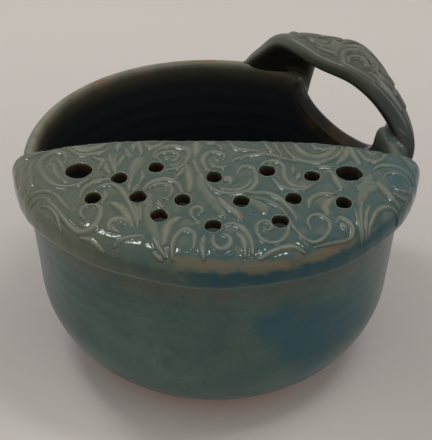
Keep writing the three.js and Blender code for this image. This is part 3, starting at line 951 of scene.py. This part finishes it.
def make_slab():
    slab = remeshed(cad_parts["strainer_slab"].data.copy(), "strainer", SLAB_VOXEL, SLAB_ROUNDS)
    points = get_points(slab) / MM
    normal = get_points(slab, "normal")
    x, y, way, depth, out = slab_flat(points)
    facing = (normal * out).sum(1)
    room = back_edge_room(points)
    top = smoothstep(0.6, 0.95, depth)
    worn = 1 - WORN_LEFT * fade(*WORN_LEFT_END, x) - WORN_RIGHT * smoothstep(*WORN_RIGHT_END, x)
    outer = top * smoothstep(0.75, 0.95, facing) * smoothstep(*BACK_MARGIN, room) * worn

    away = away_from(LEFT_SCROLLS + MIDDLE_SCROLLS + RIGHT_SCROLLS, SLAB_CORNERS, x, y)
    leaf = plateau(away_from(BROAD_LEAVES, SLAB_CORNERS, x, y))
    body = plateau(away_from([(BODY, *stroke) for stroke in LEAF_BODIES], SLAB_CORNERS, x, y))
    ridges = ridge(away) * outer
    grooves = groove(away) * outer
    leaves = np.maximum(leaf, BODY_RISE * body) * outer
    rise = RELIEF * (np.maximum(ridges, LEAF_RISE * leaves) - GROOVE_SINK * grooves - FIELD_SINK * outer)
    waves = [np.sin(a * x + b * y + start) for a, b, start in CUT_WAVES]
    rise = rise + CUT_WAVE * np.mean(waves, axis=0) * fade(0.5, 0.9, np.abs(facing)) * (way < MID_R)

    points = points + normal * rise[:, None]
    points[:, 1] += hole_stretch(x, y)
    bulge = smoothstep(*BULGE_START, np.abs(x)) * fade(*BULGE_END, np.abs(x))
    points[:, 1] += EDGE_BULGE * bulge * fade(*BULGE_ROOM, room)
    points[:, 2] -= lip_drop(points) * smoothstep(*DROOP_WAY, way)
    slab.data.vertices.foreach_set("co", (points * MM).ravel())
    slab.data.update()

    pooled = outer * smoothstep(0.5, 1.4, away) * (0.3 + 0.7 * smoothstep(*POOLED_LEFT, x))
    sharp = top * smoothstep(0.3, 0.7, facing) * fade(0.8, 0.97, facing) * fade(*SHARP_END, way)
    set_attributes(slab, relief=ridges, groove=grooves, leaf=leaves, pooled=pooled, sharp=sharp,
                   side=fade(0.55, 0.9, depth), pool=pools(points, SLAB_POOLS), **fold_marks(x, way))
    return slab


def make_seam():
    """Slip that fills the fold: a fillet under the lip, a layer over the rim and a fillet inside."""
    ends = turn_of(get_points(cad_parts["strainer_seam"]))
    lip_end = RIM_Z - LIP_DROP
    quarter = np.radians(np.linspace(0, 90, FILLET_STEPS))
    outline = []
    for a in quarter:
        z = lip_end + SLIP_LAP - LIP_FILLET * (1 - math.sin(a))
        outline.append((wall_r(z) - SLIP_SINK + LIP_FILLET * (1 - math.cos(a)), z))
    over = LIP_R + SEAT + SLAB_LAP
    for a in np.radians(np.linspace(0, 90, FOLD_STEPS)):
        outline.append((MID_R + over * math.cos(a), LIP_Z + over * math.sin(a)))
    inner_r = MID_R - LIP_R + SLIP_SINK
    under_z = LIP_Z + over
    for a in quarter:
        z = under_z - UNDER_FILLET * (1 - math.cos(a))
        outline.append((inner_r - UNDER_FILLET * (1 - math.sin(a)), z))
    outline.append((MID_R, under_z - UNDER_FILLET - SLIP_TAIL))
    outline.append((MID_R, lip_end - LIP_FILLET))
    r, z = np.array(outline).T
    turns = np.radians(np.linspace(ends.min(), ends.max(), SEAM_STATIONS))[:, None]
    rings = np.stack([r * np.cos(turns), r * np.sin(turns), z + 0 * turns], -1)
    rings[..., 2] -= lip_drop(rings) * fade(lip_end, LIP_Z, z)
    return sweep("strainer_slip", rings)


# Handle

def strap_edge(back, front, column, ways):
    """One edge of the strap, from its back foot at a turn over the arch to its front foot."""
    def at(way, r, up):
        a = math.radians(front + (back - front) * way)
        return (r * math.cos(a), r * math.sin(a), RIM_Z + up)

    foot_z = RIM_Z - FOOT_DROP
    foot = wall_r(foot_z) + FOOT_OUT
    points = [at(1, foot + lean(back, foot_z), -FOOT_DROP)]
    points += [at(row[0], RIM_R + row[column], row[column + 1] * HANDLE_RISE) for row in ARCH]
    points.append(at(0, foot, -FOOT_DROP))
    return smooth_curve(points, ways)


def strap_section():
    """Evenly spaced points round the strap, as shares of its half-width and half-thickness."""
    turn = np.linspace(0, 2 * math.pi, SECTION_STEPS)
    c = np.sign(np.cos(turn)) * np.abs(np.cos(turn)) ** STRAP_SQUARENESS
    d = np.sign(np.sin(turn)) * np.abs(np.sin(turn)) ** STRAP_SQUARENESS
    steps = np.hypot(np.diff(c) * SECTION_HALF_WIDTH, np.diff(d) * STRAP / 2)
    length, even = even_places(steps, STRAP_SIDES)
    return np.interp(even, length, c), np.interp(even, length, d)


def kept_in_wall(points):
    """Points of the handle's feet, moved out where they would come through to the bowl's inside."""
    x, y, z = np.moveaxis(points, -1, 0)
    r = np.hypot(x, y)
    least = wall_r(z) + lean(turn_of(points), z) - WALL + FOOT_COVER
    share = 1 + fade(LIP_Z, RIM_Z, z) * (np.maximum(r, least) / r - 1)
    return np.stack([x * share, y * share, z], -1)


def make_handle():
    ways = np.linspace(0, 1, STRAP_STATIONS)
    reach = math.degrees(math.asin(NOTCH_HALF / MID_R))
    back, front = NOTCH_ANGLE + reach, NOTCH_ANGLE - reach
    inner_back = back + math.degrees(FOOT_BACK / RIM_R)
    inner_front = front - math.degrees(FOOT_FRONT / RIM_R)
    inner = strap_edge(inner_back, inner_front, INNER_EDGE, ways)
    outer = strap_edge(back, front, OUTER_EDGE, ways)
    centre = (inner + outer) / 2
    across = outer - inner
    half = np.linalg.norm(across, axis=1, keepdims=True) / 2
    across = across / (2 * half)
    half = half * STRAP_SWELL
    face = np.cross(np.gradient(centre, axis=0), across)
    face = face / np.linalg.norm(face, axis=1, keepdims=True)
    step = np.linalg.norm(np.diff(centre, axis=0), axis=1)
    way = np.concatenate([[0], np.cumsum(step)])[:, None]

    c, d = strap_section()
    scrolls = [(HANDLE_BREADTH * width, *stroke) for width, *stroke in HANDLE_SCROLLS]
    away = away_from(scrolls, HANDLE_CORNERS, way + 0 * c, half * c)
    outer_side = smoothstep(0.6, 0.95, d)
    ridges = ridge(away) * outer_side
    grooves = groove(away) * outer_side

    room = np.minimum(way, way[-1] - way)
    half = half - FOOT_CORNER + np.sqrt(FOOT_CORNER ** 2 - np.maximum(FOOT_CORNER - room, 0) ** 2)
    ends = smoothstep(0, FOOT_TAPER, room)
    thick = STRAP / 2 * (FOOT_TIP + (1 - FOOT_TIP) * ends)
    relief = ridges - HANDLE_GROOVE_SINK * grooves - HANDLE_FIELD_SINK * outer_side
    rise = thick * d + HANDLE_RELIEF * ends * relief
    rings = centre[:, None] + (half * c)[..., None] * across[:, None] + rise[..., None] * face[:, None]
    handle = sweep("handle", kept_in_wall(rings))
    # The strap's underside, which its glaze paints dark as shade
    under = np.broadcast_to(smoothstep(0.1, 0.9, -d), ridges.shape)
    leg = np.broadcast_to(smoothstep(*LEG_WAY, way), ridges.shape)
    inner_edge = smoothstep(0.5, 0.95, -c) * fade(*INNER_WAY, way)
    set_attributes(handle, relief=ridges, groove=grooves, under=under, inner=inner_edge, leg=leg)
    return handle


def make_foot_slips(bowl, handle):
    """The slip in the corner between the bowl and each foot of the handle, as a thin closed skin."""
    union = joined([bowl, handle], SLIP_VOXEL)
    points = get_points(union) / MM
    turn = turn_of(points)
    at_feet = (points[:, 2] > FEET_LOWEST) & (turn > FEET_FIRST_TURN) & (turn < FEET_LAST_TURN)
    near = np.flatnonzero(at_feet)
    inside = np.empty(len(bowl.data.vertices))
    bowl.data.attributes["inside"].data.foreach_get("value", inside)
    number, from_bowl = nearest(points[near], bowl)
    _, from_handle = nearest(points[near], handle)
    at_back = turn > NOTCH_ANGLE
    outdoors = inside[number] < np.where(at_back[near], BACK_SLIP_END, FRONT_SLIP_END)
    reach = np.where(at_back, BACK_FILLET, FRONT_FILLET)[near]
    apart = np.full(len(points), FAR_APART)
    apart[near[outdoors]] = (np.maximum(from_bowl, from_handle) / reach)[outdoors]
    wall = np.zeros(len(points))
    wall[near] = smoothstep(0.3, 0.7, from_handle / (from_bowl + from_handle + SLIP_VOXEL))

    weight = fade(0.3, 1, apart)
    edges = np.empty(len(union.data.edges) * 2, int)
    union.data.edges.foreach_get("vertices", edges)
    edges = edges.reshape(-1, 2)
    soft = softened(points, edges[(weight[edges] > 0).any(1)], weight)
    normal = get_points(union, "normal")
    lift = SLIP_STAND - SLIP_EDGE_SINK * smoothstep(0.75, 1, apart)
    soft = soft + normal * lift[:, None]

    within = smoothstep(*BROWN_INSETS, RIM_R - np.hypot(points[:, 0], points[:, 1]))
    flank = fade(*BROWN_TURNS, turn) * fade(*BROWN_DEPTHS, RIM_Z - points[:, 2])
    brown = np.maximum(within, flank) * at_back
    slips = []
    for name, side in (("back_slip", at_back), ("front_slip", ~at_back)):
        keep = side & (apart < 1)
        faces = [f for f in (tuple(p.vertices) for p in union.data.polygons) if keep[list(f)].all()]
        piece, used = skin(name, soft, normal, faces)
        set_attributes(piece, brown=np.tile(brown[used], 2), wall=np.tile(wall[used], 2))
        slips.append(piece)
    bpy.data.objects.remove(union)
    return slips


# Glazes

def srgb(r, g, b):
    def linear(c):
        c = c / 255
        return c / 12.92 if c <= 0.04045 else ((c + 0.055) / 1.055) ** 2.4
    return (linear(r), linear(g), linear(b), 1)


class Glaze:
    """A glaze's node tree, built up by mixing one colour over another."""

    def __init__(self, name, colour, roughness, gloss=0.5):
        self.material = bpy.data.materials.new(name)
        self.material.use_nodes = True
        self.tree = self.material.node_tree
        self.shader = self.tree.nodes["Principled BSDF"]
        self.shader.inputs["Roughness"].default_value = roughness
        self.shader.inputs["Specular IOR Level"].default_value = gloss
        self.where = self.node("ShaderNodeTexCoord").outputs["Object"]
        self.colour = srgb(*colour)

    def plug(self, value, socket):
        """Link another node's socket, or set a plain value."""
        if isinstance(value, bpy.types.NodeSocket):
            self.tree.links.new(value, socket)
        else:
            socket.default_value = value

    def node(self, kind, **inputs):
        made = self.tree.nodes.new(kind)
        for name, value in inputs.items():
            self.plug(value, made.inputs[name.replace("_", " ")])
        return made

    def attribute(self, name):
        made = self.node("ShaderNodeAttribute")
        made.attribute_name = name
        return made.outputs["Fac"]

    def noise(self, size, detail, seed=0):
        """Noise whose lumps are about this many millimetres wide."""
        made = self.tree.nodes.new("ShaderNodeTexNoise")
        made.noise_dimensions = "4D"
        inputs = {"Scale": 1 / (size * MM), "Detail": detail, "W": seed, "Vector": self.where}
        for name, value in inputs.items():
            self.plug(value, made.inputs[name])
        return made.outputs["Fac"]

    def span(self, value, low, high, to_low=0, to_high=1):
        made = self.node("ShaderNodeMapRange", Value=value, From_Min=low, From_Max=high,
                         To_Min=to_low, To_Max=to_high)
        made.interpolation_type = "SMOOTHSTEP"
        return made.outputs["Result"]

    def patches(self, size, detail, seed, low, high, least=0, most=1):
        """Soft patches made from noise, from the least amount between them to the most in them."""
        return self.span(self.noise(size, detail, seed), low, high, least, most)

    def math(self, operation, a, b):
        made = self.tree.nodes.new("ShaderNodeMath")
        made.operation = operation
        self.plug(a, made.inputs[0])
        self.plug(b, made.inputs[1])
        return made.outputs["Value"]

    def over(self, colour, amount, within=None):
        """Lay a colour over what is there, as much as amount says, and only within a share if given."""
        if within is not None:
            amount = self.math("MULTIPLY", amount, within)
        made = self.tree.nodes.new("ShaderNodeMix")
        made.data_type = "RGBA"
        factor, a, b = (next(s for s in made.inputs if s.identifier == name)
                        for name in ("Factor_Float", "A_Color", "B_Color"))
        self.plug(amount, factor)
        self.plug(self.colour, a)
        self.plug(srgb(*colour), b)
        self.colour = next(s for s in made.outputs if s.identifier == "Result_Color")

    def mark(self, colour, name, amount=None):
        """Lay a colour where the mesh is marked by name."""
        self.over(colour, self.attribute(name), amount)

    def specks(self, spacing, size):
        """Small round iron specks, in some of the cells of a loose grid."""
        cells = self.tree.nodes.new("ShaderNodeTexVoronoi")
        cells.inputs["Scale"].default_value = 1 / (spacing * MM)
        self.tree.links.new(self.where, cells.inputs["Vector"])
        edge = size / spacing
        spot = self.span(cells.outputs["Distance"], SPECK_FULL * edge, edge, 1, 0)
        pick = self.node("ShaderNodeSeparateColor", Color=cells.outputs["Color"])
        self.over(IRON, spot, self.span(pick.outputs["Red"], *SPECK_CHANCE))

    def finish(self, bumps, roughness=None):
        """Link the colour and any roughness, and add bumps given as height sources and depths."""
        self.tree.links.new(self.colour, self.shader.inputs["Base Color"])
        if roughness:
            self.tree.links.new(roughness, self.shader.inputs["Roughness"])
        normal = None
        for height, depth in bumps:
            bump = self.node("ShaderNodeBump", Height=height, Distance=depth * MM)
            if normal:
                self.tree.links.new(normal, bump.inputs["Normal"])
            normal = bump.outputs["Normal"]
        if normal:
            self.tree.links.new(normal, self.shader.inputs["Normal"])
        return self.material


# Colours are red, green and blue in sRGB, up to 255
IRON = (32, 30, 24)
BREAK_RUST = (102, 70, 36)
BREAK_BROWN = (98, 78, 52)
BREAK_TAN = (84, 81, 62)
POOL_BLUE = (6, 65, 76)
BARE_CLAY = (186, 112, 66)

# Share of an iron speck's size that is fully dark, and where on a scale up to one a cell starts to get one
SPECK_FULL = 0.6
SPECK_CHANCE = (0.55, 0.6)


def bowl_glaze():
    roughness = 0.28
    glaze = Glaze("bowl_glaze", (50, 78, 72), roughness, 0.42)
    # Clouded green, with a fine grain
    glaze.over((64, 88, 78), glaze.patches(30, 4, 0, 0.4, 0.7))
    glaze.over((36, 64, 63), glaze.patches(11, 4, 3, 0.45, 0.7, 0, 0.7))
    glaze.over((40, 64, 58), glaze.patches(1.2, 3, 21, 0.45, 0.65, 0, 0.45))
    # Blue pools, and the warm band under the strainer
    thick = glaze.math("ADD", glaze.attribute("pool"), glaze.patches(14, 3, 5, 0.3, 0.7, -0.15, 0.15))
    glaze.over(POOL_BLUE, glaze.span(thick, 0.3, 0.8, 0, 0.9))
    glaze.mark((76, 74, 61), "warm", glaze.patches(5, 4, 13, 0.3, 0.65, 0.15, 0.8))
    # Dark inside, partly painted shade, greener near the floor and brown near the edge
    inside = glaze.attribute("inside")
    height = glaze.node("ShaderNodeSeparateXYZ", Vector=glaze.where).outputs["Z"]
    glaze.over((5, 17, 20), glaze.span(inside, 0.55, 1))
    glaze.over((22, 40, 40), inside, glaze.span(height, 12 * MM, 45 * MM, 0.9, 0))
    glaze.mark((34, 30, 19), "glow")
    # The edge breaks pale, with rust spots
    edge = glaze.math("MULTIPLY", glaze.attribute("edge"), glaze.span(inside, 0.55, 0.85, 1, 0.3))
    glaze.over((112, 105, 84), edge, glaze.patches(6, 4, 7, 0.3, 0.6, 0.6, 0.95))
    glaze.over(BREAK_RUST, edge, glaze.patches(9, 4, 9, 0.53, 0.66, 0, 0.85))
    # The notch is dull and dark, with rust
    notch = glaze.span(glaze.attribute("notch"), 0.05, 0.6, 0, 0.95)
    glaze.over((24, 23, 9), notch)
    glaze.over((100, 62, 22), notch, glaze.patches(9, 4, 16, 0.45, 0.65, 0, 0.45))
    # Painted light: the lit corner by the strainer, painted lighter over the dark inside
    glaze.mark((80, 87, 75), "corner")
    glaze.specks(9, 0.55)
    # The foot is bare
    outside = glaze.span(inside, 0, 1, 1, 0)
    glaze.over(BARE_CLAY, outside, glaze.span(height, 6 * MM, 8 * MM, 1, 0))
    dull_inside = glaze.span(inside, 0.5, 1, roughness, 0.55)
    rough = glaze.math("MAXIMUM", dull_inside, glaze.span(notch, 0, 1, roughness, 0.6))
    return glaze.finish([(glaze.noise(1.6, 2), 0.03), (glaze.noise(7, 2), 0.12)], rough)


def strainer_glaze():
    glaze = Glaze("strainer_glaze", (77, 80, 64), 0.18, 0.4)
    # Grey-green, greener to the right and pale on the left of the fold
    glaze.mark((52, 69, 60), "right")
    glaze.over((54, 67, 55), glaze.patches(10, 4, 0, 0.4, 0.7, 0, 0.7))
    glaze.mark((91, 94, 77), "pale", 0.8)
    # Pooled between the ridges, blue in places and tawny in others
    glaze.mark((46, 69, 62), "pooled", glaze.patches(14, 3, 14, 0.35, 0.6, 0.3, 0.9))
    glaze.mark((22, 64, 70), "pool", glaze.patches(8, 3, 4, 0.3, 0.6, 0.6, 1))
    glaze.mark((90, 89, 74), "pooled", glaze.patches(7, 3, 31, 0.5, 0.7, 0, 0.55))
    # Thin and pale on leaves and ridges
    glaze.over((88, 92, 77), glaze.span(glaze.attribute("leaf"), 0.1, 0.9, 0, 0.75))
    glaze.mark((44, 60, 52), "groove", 0.3)
    relief = glaze.attribute("relief")
    glaze.over((94, 97, 82), glaze.span(relief, 0.2, 0.95, 0, 0.85))
    glaze.over((102, 101, 86), glaze.span(relief, 0.6, 1), glaze.patches(5, 3, 2, 0.4, 0.65))
    glaze.over((60, 68, 54), glaze.patches(1.8, 4, 6, 0.48, 0.7, 0, 0.5))
    # Over the fold: deep blue, ragged tan with brown spots, and the light hem
    glaze.mark((2, 56, 65), "deep", glaze.patches(9, 4, 8, 0.3, 0.6, 0.5, 1))
    tan = glaze.attribute("tan")
    ragged = glaze.math("ADD", tan, glaze.patches(5, 5, 7, 0.3, 0.7, -0.6, 0.35))
    glaze.over(BREAK_TAN, glaze.span(ragged, 0, 0.9, 0, 0.85))
    spots = glaze.math("MULTIPLY", tan, glaze.noise(5, 4, 9))
    glaze.over(BREAK_BROWN, glaze.span(spots, 0.44, 0.66, 0, 0.7))
    glaze.mark((84, 100, 94), "hem", 0.6)
    # Cut edges break pale, and the cut sides are brown
    glaze.mark((112, 106, 88), "sharp", glaze.patches(6, 3, 12, 0.3, 0.6, 0.3, 0.8))
    glaze.mark((54, 41, 28), "side")
    glaze.specks(8, 0.5)
    rough = glaze.span(relief, 0.1, 0.6, 0.1, 0.45)
    return glaze.finish([(glaze.noise(1.2, 2), 0.04), (glaze.noise(4, 3), 0.3)], rough)


def handle_glaze():
    glaze = Glaze("handle_glaze", (64, 67, 55), 0.36, 0.3)
    # Grey-green, darker down the front leg and paler on the inner edge
    glaze.over((54, 59, 49), glaze.patches(16, 3, 0, 0.4, 0.65))
    glaze.mark((36, 41, 35), "leg", 0.9)
    glaze.mark((84, 87, 74), "inner", 0.8)
    # Pale on the ridges, and painted shade on the strap's underside
    glaze.mark((42, 46, 38), "groove", 0.3)
    glaze.over((87, 87, 75), glaze.span(glaze.attribute("relief"), 0.1, 0.8, 0, 0.8))
    glaze.mark((28, 26, 20), "under")
    glaze.specks(8, 0.5)
    return glaze.finish([(glaze.noise(1.4, 2), 0.03), (glaze.noise(6, 2), 0.12)])


def slip_glaze():
    glaze = Glaze("slip_glaze", (55, 61, 52), 0.3, 0.35)
    glaze.over((68, 72, 59), glaze.patches(6, 3, 0, 0.5, 0.7))
    glaze.mark((49, 74, 68), "wall")
    glaze.mark((52, 46, 35), "brown")
    glaze.specks(6, 0.4)
    return glaze.finish([(glaze.noise(1.4, 2), 0.04), (glaze.noise(5, 2), 0.12)])


def dress(piece, node, material):
    piece.data.materials.append(material)
    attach(piece, "root")
    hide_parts(node)


slip = slip_glaze()
bowl = make_bowl()
handle = make_handle()
back_slip, front_slip = make_foot_slips(bowl, handle)
dress(bowl, "bowl_body", bowl_glaze())
dress(make_slab(), "strainer_slab", strainer_glaze())
dress(make_seam(), "strainer_seam", slip)
dress(handle, "handle_strap", handle_glaze())
dress(back_slip, "handle_back_slip", slip)
dress(front_slip, "handle_front_slip", slip)


# Stage

FLOOR_SIZE = 6000
# Painted light on the floor: the paper is painted darker in front and paler towards the back, as the light
# falls off
FLOOR_FRONT = (176, 170, 165)
FLOOR_BACK_LIT = (190, 183, 177)
FLOOR_BACK_LIT_Y = 350
# Painted light: the paper is painted paler where the bowl stands, which lifts the bowl's shadow in front
# of it
FLOOR_SHADOW_LIFT = (204, 197, 191)
FLOOR_SHADOW_LIFT_Y = -80
FLOOR_SHADOW_LIFT_FULL = 15
FLOOR_SHADOW_LIFT_END = 120
STUDIO_WHITE = (1, 0.985, 0.97, 1)
STUDIO_STRENGTH = 0.7
LIGHT_AIM = (0, 0, 90)


def make_floor():
    bpy.ops.mesh.primitive_plane_add(size=FLOOR_SIZE * MM)
    floor = bpy.context.object
    floor.name = "floor"
    paper = Glaze("floor", FLOOR_FRONT, 0.8)
    y = paper.node("ShaderNodeSeparateXYZ", Vector=paper.where).outputs["Y"]
    # Painted light: paler towards the back
    paper.over(FLOOR_BACK_LIT, paper.span(y, 0, FLOOR_BACK_LIT_Y * MM))
    # Painted light that lifts the bowl's shadow on the paper
    away = paper.node("ShaderNodeVectorMath")
    away.operation = "DISTANCE"
    paper.plug(paper.where, away.inputs[0])
    paper.plug((0, FLOOR_SHADOW_LIFT_Y * MM, 0), away.inputs[1])
    patch = paper.span(away.outputs["Value"], FLOOR_SHADOW_LIFT_FULL * MM, FLOOR_SHADOW_LIFT_END * MM, 1, 0)
    paper.over(FLOOR_SHADOW_LIFT, patch)
    floor.data.materials.append(paper.finish([]))


def make_light(name, place, aim, width, height, watts):
    data = bpy.data.lights.new(name, "AREA")
    data.shape = "RECTANGLE"
    data.size = width * MM
    data.size_y = height * MM
    data.energy = watts
    light = link_object(name, data)
    light.location = Vector(place) * MM
    light.rotation_euler = (Vector(aim) - Vector(place)).to_track_quat("-Z", "Y").to_euler()


def make_camera():
    rise = math.radians(CAMERA_HEIGHT_ANGLE)
    pitch, yaw, roll = (math.radians(a) for a in (CAMERA_PITCH, CAMERA_YAW, CAMERA_ROLL))
    height = math.sin(rise) * CAMERA_DISTANCE + RIM_Z / 2
    place = Vector((0, -math.cos(rise) * CAMERA_DISTANCE, height)) * MM
    forward = Vector((math.sin(yaw) * math.cos(pitch), math.cos(yaw) * math.cos(pitch), -math.sin(pitch)))
    level = forward.cross(Vector((0, 0, 1))).normalized()
    upright = level.cross(forward)
    right = level * math.cos(roll) + upright * math.sin(roll)
    up = upright * math.cos(roll) - level * math.sin(roll)
    data = bpy.data.cameras.new("camera")
    data.lens = CAMERA_LENS
    camera = link_object("camera", data)
    camera.matrix_world = Matrix.Translation(place) @ Matrix((right, up, -forward)).transposed().to_4x4()
    bpy.context.scene.camera = camera


def make_world():
    world = bpy.data.worlds.new("studio")
    world.use_nodes = True
    background = world.node_tree.nodes["Background"]
    background.inputs["Color"].default_value = STUDIO_WHITE
    background.inputs["Strength"].default_value = STUDIO_STRENGTH
    bpy.context.scene.world = world


make_floor()
make_world()
make_light("left_box", (-380, 150, 1040), LIGHT_AIM, 120, 320, 2.8)
make_light("right_box", (300, -100, 1100), LIGHT_AIM, 110, 320, 2.6)
make_light("overhead", (0, 200, 1400), (0, 0, 50), 1200, 1200, 0.5)
make_camera()
bpy.context.scene.view_settings.view_transform = "Standard"
